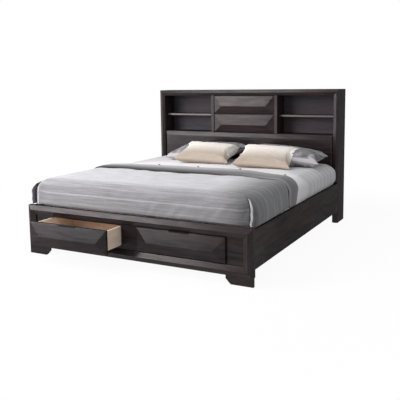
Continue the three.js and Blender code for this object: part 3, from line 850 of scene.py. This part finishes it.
makeBackdrop()
makeFloor()
makeLamps()
scene.view_settings.view_transform = "Standard"
print("studio lit")


# mattress in its fitted sheet: it swells over the rails where the duvet leaves it free

mattressLow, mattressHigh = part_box("mattress")
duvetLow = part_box("duvet")[0]
mattressSizes = {
    "round": (0.10, 0.06, 0.08),
    "lowRound": 0.03,
    "crown": 0.010,
    "crownFrom": 0.2,
    "step": 0.03,
    "bulge": 0.033,
    "bulgeFrom": (0.413, 0.45),
    "bulgeTo": (0.54, 0.615),
    "bulgeAlong": (-0.08, 0.10),
    "tuck": 0.010,
    "waves": ((0.11, 5.3), (0.30, 9.1)),
    "waveShare": 0.10,
    "dimple": 0.002,
}
# the sheet's white band: its width on the top and on the sides, and how it fades
whiteBand = {"across": (0.7, 1.1), "width": (0.52, 0.16), "fade": (0.16, 0.03)}

# how far the folded end and the turned-back edge lie behind the foot, by place across the bed
foldedEnd = {
    "across": [-1.24, -1.15, -1.06, -0.93, -0.75, -0.48, 0, 0.38, 0.60, 0.80, 0.90, 1, 1.06, 1.17,
               1.21, 1.24],
    "along": [0.86, 0.93, 0.945, 0.97, 1, 1.03, 1.045, 1.065, 1.015, 0.94, 0.925, 0.935, 0.945, 0.90,
              0.865, 0.83],
}
turnedEdge = {
    "across": [-1.26, -0.9, -0.617, -0.15, 0.198, 0.617, 0.774, 1, 1.26],
    "along": [0.735, 0.745, 0.753, 0.710, 0.730, 0.757, 0.721, 0.723, 0.725],
}


def endAlong(across, line):
    return float(np.interp(across, line["across"], line["along"]))


def foldGap(across, y):
    # 1 on the sheet's white band, which follows the duvet's fold, down to 0 past its edge
    width = float(np.interp(abs(across), whiteBand["across"], whiteBand["width"]))
    before, after = whiteBand["fade"]
    gap = y - duvetLow.y - endAlong(across, foldedEnd)
    return float(1 - blendBetween(gap, width - before, width + after))


def makeMattress():
    s = mattressSizes
    low, high = np.array(mattressLow), np.array(mattressHigh)
    high[2] -= s["crown"]
    counts = np.ceil((high - low) / s["step"]).astype(int)
    lines = [np.linspace(low[axis], high[axis], counts[axis] + 1) for axis in range(3)]
    index, points, faces = {}, [], []

    def pointAt(place):
        if place not in index:
            index[place] = len(points)
            points.append([lines[axis][place[axis]] for axis in range(3)])
        return index[place]

    for axis in range(3):
        first, second = (axis + 1) % 3, (axis + 2) % 3
        for end in (0, counts[axis]):
            for i in range(counts[first]):
                for j in range(counts[second]):
                    quad = []
                    for di, dj in ((0, 0), (1, 0), (1, 1), (0, 1)):
                        place = [0, 0, 0]
                        place[axis], place[first], place[second] = end, i + di, j + dj
                        quad.append(pointAt(tuple(int(part) for part in place)))
                    faces.append(quad if end else quad[::-1])
    points = np.array(points)
    middle, reach = (low + high) / 2, (high - low) / 2
    edge = np.tile(np.array(s["round"]), (len(points), 1))
    edge[points[:, 2] < middle[2], 2] = s["lowRound"]
    inner = np.clip(points, low + edge, high - edge)
    out = (points - inner) / edge
    length = np.linalg.norm(out, axis=1, keepdims=True)
    points = inner + out / np.maximum(length, leastLength) * edge
    share = (points - middle) / reach
    top = blendBetween(share[:, 2], s["crownFrom"], 1)
    x, y, z = points.T
    side = np.sign(x) * blendBetween(np.abs(x), high[0] - s["round"][0], high[0])
    free, above = blendBetween(y, *s["bulgeAlong"]), blendBetween(z, *s["bulgeFrom"])
    swell = above * (1 - blendBetween(z, *s["bulgeTo"])) * free
    wave = np.array([sum(unevenness(*point, *form) for form in s["waves"]) for point in points])
    tucked = s["tuck"] * (1 - free) * above
    points[:, 0] += side * (s["bulge"] * swell * (1 + s["waveShare"] * wave) - tucked)
    points[:, 2] += s["crown"] * top * (1 - share[:, 0] ** 4) * (1 - share[:, 1] ** 4)
    points[:, 2] -= s["dimple"] * top * np.abs(wave) * free
    across = np.sign(x) * (np.abs(x) + np.maximum(0, high[2] - z))
    places = np.stack([across, y - low[1], z], axis=1)
    piece = makeMesh("mattress_in_sheet", points, faces, sheetCloth)
    storeOnPoints(piece, "clothPlace", places)
    storeOnPoints(piece, "hem", [foldGap(place[0], point[1]) for place, point in zip(places, points)])
    addSubdivision(piece)
    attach(piece, bedBody)
    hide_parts("mattress")


makeMattress()
print("mattress made")


# duvet: one cloth over the top, the foot and both sides, slit at the foot corners

duvetSizes = {
    "top": mattressHigh.z + 0.014,
    "crown": 0.006,
    "half": 1.018,
    "sideRoll": (0.115, 0.100),
    "foot": duvetLow.y + 0.001,
    "footRoll": (0.055, 0.062),
    "cornerPower": 1 / 4,
    "hem": duvetLow.z + 0.001,
    "step": 0.027,
    "topLength": 1.08,
    "pinnedRows": 2,
    "rollSteps": 7,
    "dropSteps": 7,
    "cornerStep": 0.014,
    "cornerTurns": 361,
    "cornerReach": 0.002,
    "slitClear": 0.6,
    "slitLevel": 4,
    "slitGap": 0.14,
    "thick": 0.009,
    "waves": ((1, 0.33, 3.1), (0.5, 0.13, 7.7)),
    "wave": 0.0016,
    "waveDepth": 0.4,
    "fold": 0.003,
    "flare": 0.017,
    "flareAlong": (0.30, 0.78),
    "flareHeight": (0.50, 0.61),
    "endOverlap": 0.03,
}
# the slit of each foot corner: where it stands from side (0) to foot (90), and how its flaps lie;
# out is away from the mattress, back along the cloth, away from the slit; at top, middle and hem
duvetSlits = {
    -1: {"turn": 45,
         "foot": {"out": (0, 0.005, 0.007), "back": (0, 0.001, 0.001), "hem": 0.024, "ripple": 0.002},
         # the left side flap's lining band is a real lining edge, widened to lighten the flap's inner face,
         # which lies in shade: painted light
         "side": {"out": (0.036, 0.050, 0.049), "back": (0, 0, 0), "hem": 0.030, "ripple": 0.008}},
    1: {"turn": 74,
        "foot": {"out": (0, -0.006, -0.007), "back": (0.004, 0.001, 0.014), "hem": 0, "ripple": 0},
        "side": {"out": (0, 0.012, 0.003), "back": (0.006, 0.001, -0.010), "hem": 0.014, "ripple": 0.014}},
}
flapForm = {
    "heights": (0, 0.4, 1),
    "reach": 0.060,
    "rippleReach": 0.030,
    "rippleTurns": (4, 15, 1.4),
    "rippleShare": (0.3, 0.7),
    "rippleBack": 0.5,
}


def duvetSection(across):
    # the duvet's line across the bed: place and outward direction at a length from the middle
    s = duvetSizes
    out, down = s["sideRoll"]
    flat = s["half"] - out
    side = copysign(1, across)
    length = abs(across)
    crown = s["crown"] * max(0, 1 - (length / flat) ** 4)
    if length <= flat:
        return np.array([across, s["top"] + crown]), np.array([0.0, 1.0])
    arc = (out + down) / 2 * pi / 2
    if length - flat <= arc:
        angle = (length - flat) / arc * pi / 2
        place = np.array([side * (flat + out * sin(angle)), s["top"] - down * (1 - cos(angle))])
        normal = np.array([side * sin(angle) * down, cos(angle) * out])
        return place, normal / np.linalg.norm(normal)
    return np.array([side * s["half"], s["top"] - down - (length - flat - arc)]), np.array([side, 0.0])


def cornerLine(side):
    # plan of a foot corner from side to foot: turns, offsets from the flat part, directions out, lengths
    s = duvetSizes
    turns = np.linspace(0, 90, s["cornerTurns"])
    angles = np.radians(turns)
    dx = s["sideRoll"][0] * np.clip(np.cos(angles), 0, 1) ** s["cornerPower"]
    dy = s["footRoll"][0] * np.clip(np.sin(angles), 0, 1) ** s["cornerPower"]
    lengths = np.concatenate([[0], np.cumsum(np.hypot(np.diff(dx), np.diff(dy)))])
    atSlit = float(np.interp(duvetSlits[side]["turn"], turns, lengths))
    count = int(round(lengths[-1] / s["cornerStep"]))
    picked = [length for length in np.linspace(0, lengths[-1], count + 1)[1:-1]
              if abs(length - atSlit) > s["cornerStep"] * s["slitClear"]]
    line = []
    for length in sorted(picked + [atSlit]):
        behind, ahead = np.clip((length - s["cornerReach"], length + s["cornerReach"]), 0, lengths[-1])
        tangent = np.array([
            np.interp(ahead, lengths, way) - np.interp(behind, lengths, way) for way in (dx, dy)])
        tangent /= np.linalg.norm(tangent)
        line.append({
            "turn": float(np.interp(length, lengths, turns)), "length": length, "slit": length == atSlit,
            "offset": (side * np.interp(length, lengths, dx), -np.interp(length, lengths, dy)),
            "out": np.array([side * tangent[1], tangent[0], 0]),
        })
    return line, lengths[-1], atSlit


def duvetStations(rows, columns):
    # the lines that run out and down from the flat part: left side, foot and right side in order
    (sideOut, sideDown), (footOut, footDown) = duvetSizes["sideRoll"], duvetSizes["footRoll"]
    plain = {"share": 0, "slitGap": None, "round": 0, "cut": False}

    def firstPoint(side):
        return max(0, side) * (len(columns) - 1)

    def sideStations(side):
        return [{**plain, "kind": "side", "side": side, "flap": "side", "share": share,
                 "start": row * len(columns) + firstPoint(side), "offset": (side * sideOut, 0),
                 "down": sideDown, "out": np.array([side, 0, 0])} for row, share in enumerate(rows)]

    def cornerStations(side):
        line, whole, atSlit = cornerLine(side)
        found = []
        for item in line:
            length, cut = item["length"], item["slit"]
            down = sideDown + (footDown - sideDown) * sin(radians(item["turn"])) ** 2
            for flap in ["side", "foot"] if cut else ["side" if length < atSlit else "foot"]:
                found.append({
                    **plain, "kind": "corner", "side": side, "flap": flap, "start": firstPoint(side),
                    "offset": item["offset"], "down": down, "out": item["out"], "cut": cut,
                    "slitGap": abs(length - atSlit), "round": length if flap == "side" else whole - length})
        return found

    foot = [{**plain, "kind": "foot", "side": copysign(1, x), "flap": "foot", "start": column,
             "offset": (0, -footOut), "down": footDown, "out": np.array([0, -1, 0])}
            for column, x in enumerate(columns)]
    return (sideStations(-1)[::-1] + cornerStations(-1) + foot + cornerStations(1)[::-1]
            + sideStations(1))


def flapShift(station, gap, share):
    # how a flap stands off near its slit, and the light ripple of its edge
    f = flapForm
    slit = duvetSlits[int(station["side"])][station["flap"]]
    near = nearTo(gap, f["reach"])
    out, away = (float(np.interp(share, f["heights"], slit[key])) * near for key in ("out", "back"))
    start, turns, power = f["rippleTurns"]
    least, more = f["rippleShare"]
    ripple = slit["ripple"] * sin(start + turns * share ** power) * nearTo(gap, f["rippleReach"])
    ripple *= least + more * share
    along = np.array([-station["out"][1], station["out"][0], 0])
    towardsFoot = 1 if along[1] < 0 or (along[1] == 0 and along[0] * station["side"] < 0) else -1
    back = along * towardsFoot * (1 if station["flap"] == "foot" else -1)
    return station["out"] * (out + ripple) + back * (away + f["rippleBack"] * ripple)


def makeDuvet():
    s = duvetSizes
    footOut, footDown = s["footRoll"]
    flat = s["half"] - s["sideRoll"][0]
    startY = s["foot"] + footOut
    columns = np.linspace(-flat, flat, int(round(2 * flat / s["step"])) + 1)
    rows = np.linspace(0, 1, int(round(s["topLength"] / s["step"])) + 1)
    footArc = (footOut + footDown) / 2 * pi / 2
    footLength = footArc + s["top"] - footDown - s["hem"]
    points, places, hems, pins, depth = [], [], [], [], []

    def endLength(across):
        return endAlong(across, foldedEnd) - footOut - s["endOverlap"]

    def put(point, place, hem, pin, low):
        points.append(point)
        places.append((*place, 0))
        hems.append(hem)
        pins.append(pin)
        depth.append(low)
        return len(points) - 1

    for row, share in enumerate(rows):
        for x in columns:
            (_, z), _ = duvetSection(x)
            y = startY + share * endLength(x)
            pin = float(row >= len(rows) - s["pinnedRows"])
            put(np.array([x, y, z]), (x, footLength + y - startY), 0, pin, 0)
    faces = gridFaces(len(rows), len(columns))

    stations = duvetStations(rows, columns)
    levels = s["rollSteps"] + s["dropSteps"]
    chains = []
    for order, station in enumerate(stations):
        start = np.array(points[station["start"]])
        reach = hypot(*station["offset"])
        arc = (reach + station["down"]) / 2 * pi / 2
        fall = s["top"] - station["down"] - s["hem"]
        shared = order and station["cut"] and stations[order - 1]["cut"]
        chain = [station["start"]]
        for level in range(1, levels + 1):
            if shared and level < s["slitLevel"]:
                chain.append(chains[-1][level])
                continue
            part = min(1, level / s["rollSteps"])
            drop = fall * max(0, level - s["rollSteps"]) / s["dropSteps"]
            out = sin(part * pi / 2)
            length = arc * part + drop
            point = start + np.array([*station["offset"], 0]) * out
            point[2] = s["top"] - station["down"] * (1 - cos(part * pi / 2)) - drop
            side = station["side"]
            if station["flap"] == "side":
                across = side * (flat + length)
                along = footLength - station["round"] * out
                if station["kind"] == "side":
                    point[1] = startY + station["share"] * endLength(across)
                    along = footLength + point[1] - startY
                place = (across, along)
            else:
                place = (start[0] + side * station["round"] * out, footLength * (1 - length / (arc + fall)))
            hem = 0
            if level >= s["slitLevel"]:
                share = (level - s["slitLevel"]) / (levels - s["slitLevel"])
                gap = station["slitGap"]
                if gap is None:
                    away = abs(start[0] - side * flat) if station["kind"] == "foot" else start[1] - startY
                    gap = s["slitGap"] + away
                point += flapShift(station, gap, share)
                hemWidth = duvetSlits[int(side)][station["flap"]]["hem"]
                if hemWidth:
                    hem = max(0, 1 - gap / (2 * hemWidth))
            chain.append(put(point, place, hem, float(level == levels), level / levels))
        chains.append(chain)
    for order in range(len(stations) - 1):
        a, b = chains[order], chains[order + 1]
        if stations[order]["cut"] and stations[order + 1]["cut"]:
            continue
        for level in range(levels):
            quad = tuple(dict.fromkeys((a[level], a[level + 1], b[level + 1], b[level])))
            if len(quad) > 2:
                faces.append(quad)

    points = np.array(points)
    x, y, z = points.T
    flare = s["flare"] * blendBetween(np.abs(x), flat, s["half"]) * blendBetween(-y, *s["flareAlong"])
    points[:, 0] += np.sign(x) * flare * (1 - blendBetween(z, *s["flareHeight"]))
    for index, (x, y, z) in enumerate(points):
        lift = sum(share * unevenness(x, y, z, size, seed) for share, size, seed in s["waves"])
        if depth[index] < s["waveDepth"]:
            points[index][2] += s["wave"] * lift * (1 - depth[index] / s["waveDepth"])
        elif abs(x) > flat:
            points[index][0] += copysign(s["fold"], x) * lift * depth[index]
    piece = makeMesh("duvet_cover", points, faces, duvetCloth)
    storeOnPoints(piece, "clothPlace", places)
    storeOnPoints(piece, "hem", hems)
    addGroup(piece, "ease", np.ones(len(points)))
    addGroup(piece, "pin", pins)
    return piece


duvetSettling = {
    "quality": 5, "mass": 0.3, "tension": 12, "bending": 0.05, "pressure": 0,
    "shrink": (-0.010, -0.010), "frames": 16, "reach": 0.003,
}
duvet = makeDuvet()
settleCloth(duvet, duvetSettling)
solid = duvet.modifiers.new("loft", "SOLIDIFY")
solid.thickness = duvetSizes["thick"]
solid.offset = -1
addSubdivision(duvet)
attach(duvet, bedBody)
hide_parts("duvet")
print("duvet made")


# the turned-back end of the duvet, a folded roll that lies on it

cuffSizes = {
    "thick": 0.015,
    "uneven": (0.003, 0.25, 1.7),
    "roll": 0.017,
    "rollTurns": (75, -90, 8),
    "step": 0.022,
    "hemRaise": 0.002,
    "edgeUnder": [(0.012, -0.005), (0.002, 0), (-0.003, 0.006)],
    "edgeOver": [(0.001, -0.004), (0.010, 0)],
    "flatShares": (0.1, 0.9, 14),
    "crown": 0.003,
    "crease": 0.0022,
    "creaseForm": (0.35, 0.5, 0.09, 4.4),
    "under": [(1, -0.09, -0.010), (0.5, 0, -0.007)],
    "toneLength": 0.40,
    "leastLength": 0.1,
}


def cuffHeight(across):
    height, size, seed = cuffSizes["uneven"]
    return cuffSizes["thick"] + height * unevenness(across, 0, 0, size, seed)


def cuffSection(across, length):
    # the roll's closed line, as places along the bed from the turned-back edge and heights on the duvet
    s = cuffSizes
    thick, roll = cuffHeight(across), s["roll"]
    acrossShare, alongShare, size, seed = s["creaseForm"]
    section = s["edgeUnder"] + [(along, thick + height) for along, height in s["edgeOver"]]
    for share in np.linspace(*s["flatShares"]):
        crease = s["crease"] * unevenness(across * acrossShare, share * alongShare, 0, size, seed)
        section.append((length * share, thick + s["crown"] * sin(share * pi) + crease))
    for angle in np.radians(np.linspace(*s["rollTurns"])):
        section.append((length - roll + roll * cos(angle), thick - roll + roll * sin(angle)))
    return section + [(length * share + more, height) for share, more, height in s["under"]]


def makeCuff():
    s, d = cuffSizes, duvetSizes
    out, down = d["sideRoll"]
    reach = d["half"] - out + (out + down) / 2 * pi / 2 + d["top"] - down - d["hem"] - s["hemRaise"]
    count = int(round(2 * reach / s["step"]))
    points, places = [], []
    for across in np.linspace(-reach, reach, count + 1):
        (x, z), (nx, nz) = duvetSection(across)
        start = endAlong(across, turnedEdge)
        length = endAlong(across, foldedEnd) - start
        section = cuffSection(across, length)
        travel, previous = 0, section[0]
        for along, height in section:
            travel += hypot(along - previous[0], height - previous[1])
            previous = (along, height)
            points.append((x + nx * height, d["foot"] + start + along, z + nz * height))
            places.append((across, travel * s["toneLength"] / max(length, s["leastLength"]), 0))
    piece = makeMesh("duvet_turned_end", points, tubeFaces(0, len(section), count), cuffCloth)
    storeOnPoints(piece, "clothPlace", places)
    addSubdivision(piece)
    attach(piece, bedBody)


makeCuff()
print("turned end made")


# four horn buttons on the fold, each a turned disc with a raised rim and a crossed thread

buttonSizes = {
    "across": [-0.405, 0.015, 0.443, 0.915],
    "fromFold": 0.010,
    "above": 0.0005,
    "tip": 22,
    "spin": 0.7,
    "profile": [(0, 0.0032), (0.0040, 0.0030), (0.0062, 0.0040), (0.0084, 0.0046), (0.0100, 0.0034),
                (0.0106, 0.0016), (0.0100, 0), (0, -0.0006)],
    "sides": 20,
    "thread": {"reach": 0.0036, "radius": 0.0006, "height": 0.0030, "bow": 0.0012, "steps": 4, "sides": 6},
}


def makeButtons():
    s, thread = buttonSizes, buttonSizes["thread"]
    points, faces = [], []
    for number, across in enumerate(s["across"]):
        (x, z), (nx, nz) = duvetSection(across)
        along = duvetSizes["foot"] + endAlong(across, foldedEnd) - s["fromFold"]
        height = cuffHeight(across) + s["above"]
        lay = Matrix.Translation((x + nx * height, along, z + nz * height)) @ turnedBy(
            Y=atan2(nx, nz), X=radians(-s["tip"]), Z=s["spin"] * number)
        rings = []
        for radius, level in s["profile"]:
            ring = []
            for side in range(s["sides"] if radius else 1):
                angle = 2 * pi * side / s["sides"]
                ring.append(len(points))
                points.append(lay @ Vector((radius * cos(angle), radius * sin(angle), level)))
            rings.append(ring)
        for upper, lower in zip(rings, rings[1:]):
            for side in range(s["sides"]):
                after = (side + 1) % s["sides"]
                quad = [upper[side % len(upper)], lower[side % len(lower)], lower[after % len(lower)],
                        upper[after % len(upper)]]
                faces.append(tuple(dict.fromkeys(quad)))
        radius, steps, sides = thread["radius"], thread["steps"], thread["sides"]
        for turn in (0, pi / 2):
            faces += tubeFaces(len(points), sides, steps, flip=True)
            for step in range(steps + 1):
                along = (2 * step / steps - 1) * thread["reach"]
                height = thread["height"] + thread["bow"] * sin(step / steps * pi)
                for side in range(sides):
                    angle = 2 * pi / sides * side
                    flat = Vector((radius * cos(angle), along, height + radius * sin(angle)))
                    points.append(lay @ (turnedBy(Z=turn) @ flat))
    piece = makeMesh("duvet_buttons", points, faces, buttonHorn)
    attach(piece, bedBody)


makeButtons()
print("buttons made")


# pillows: each cover swells by cloth simulation, then lies on the sheet and against its neighbours

pillowSizes = {
    "grey": {"start": (0.805, 0.51, 0.125), "quick": (0.78, 0.48, 0.168), "cloth": greyCloth,
             "slot": "grey_cloth"},
    "cream": {"start": (0.605, 0.49, 0.105), "quick": (0.585, 0.465, 0.15), "cloth": creamCloth,
              "slot": "cream_cloth"},
}
# x, y, lift over the mattress, then lean, tilt and turn in degrees, and the seed of its unevenness
pillowPlaces = {
    "grey_pillow_left": (-0.311, 0.8302, 0.080, -3, 7, 0, 3),
    "grey_pillow_right": (0.590, 0.7752, 0.086, 5, 3, 5, 5),
    "cream_pillow_left": (-0.204, 0.6372, 0.090, 3, 14.5, 8, 8),
    "cream_pillow_right": (0.481, 0.5632, 0.087, 2.5, 16.5, 6, 13),
}
pillowSettling = {
    "quality": 6, "mass": 0.3, "tension": 15, "bending": 0.05, "pressure": 1.5, "shrink": (0, -0.12),
    "frames": 20, "reach": 0.024,
}
pillowForm = {
    "count": 44, "spread": 0.92, "pull": 0.075, "fullness": 0.9, "unevenness": 0.0015, "easeFrom": 0.3}
pillowRest = {"overSheet": 0.0015, "fromPanel": 0.003, "apart": 0.002, "look": 0.12}


def makePillowForm(size):
    # two crowned faces that share their seam
    f = pillowForm
    count, width, depth, height = f["count"], *size
    index, points, places, ease, faces = {}, [], [], [], []

    def spread(step):
        return sin((step / count * 2 - 1) * pi / 2 * f["spread"]) / sin(pi / 2 * f["spread"])

    for sign in (1, -1):
        for row in range(count + 1):
            for column in range(count + 1):
                u, v = spread(column), spread(row)
                seam = row in (0, count) or column in (0, count)
                if sign < 0 and seam:
                    index[sign, row, column] = index[1, row, column]
                    continue
                swell = sqrt(max(0, (1 - u * u) * (1 - v * v))) ** f["fullness"]
                x = width / 2 * u * (1 - f["pull"] * (1 - v * v))
                y = depth / 2 * v * (1 - f["pull"] * (1 - u * u))
                index[sign, row, column] = len(points)
                points.append((x, y, sign * swell * height / 2))
                places.append((x, y, sign))
                ease.append(max(0, (max(abs(u), abs(v)) - f["easeFrom"]) / (1 - f["easeFrom"])))
        for row in range(count):
            for column in range(count):
                quad = [index[sign, row + up, column + along]
                        for up, along in ((0, 0), (0, 1), (1, 1), (1, 0))]
                faces.append(quad[::sign])
    return points, places, ease, faces


def restOn(points, others):
    # no point goes under the sheet, into the headboard or into a pillow that was laid before
    apart = pillowRest["apart"]
    floor = mattressHigh.z + pillowRest["overSheet"]
    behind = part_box("headboard_lower_panel")[0].y - pillowRest["fromPanel"]
    points[:, 2] = np.maximum(points[:, 2], floor)
    points[:, 1] = np.minimum(points[:, 1], behind)
    for other in others:
        for number, point in enumerate(points):
            near, normal, _, _ = other.find_nearest(Vector(point), pillowRest["look"])
            if near is not None and (Vector(point) - near).dot(normal) < apart:
                points[number] = near + normal * apart
    points[:, 2] = np.maximum(points[:, 2], floor)
    return points


def makePillow(name, others):
    size = pillowSizes[name.split("_")[0]]
    x, y, lift, lean, tilt, turn, seed = pillowPlaces[name]
    points, places, ease, faces = makePillowForm(size["start"])
    piece = makeMesh(name + "_cover", points, faces, size["cloth"])
    storeOnPoints(piece, "clothPlace", places)
    addGroup(piece, "ease", ease)
    points = readPoints(piece.data)
    points[:, 2] += np.random.default_rng(seed).normal(0, pillowForm["unevenness"], len(points))
    writePoints(piece.data, points)
    settleCloth(piece, pillowSettling)
    laid = Matrix.Translation((x, y, mattressHigh.z + lift)) @ turnedBy(
        Z=radians(turn), X=radians(tilt), Y=radians(lean))
    points = np.array([laid @ Vector(point) for point in readPoints(piece.data)])
    writePoints(piece.data, restOn(points, others))
    addSubdivision(piece)
    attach(piece, bedBody)
    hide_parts(name)
    return piece


def makePillows():
    laid = []
    for name in pillowPlaces:
        mesh = makePillow(name, laid).data
        laid.append(BVHTree.FromPolygons(
            [vertex.co for vertex in mesh.vertices], [face.vertices for face in mesh.polygons]))


makePillows()
print("pillows made")


print("scene built")
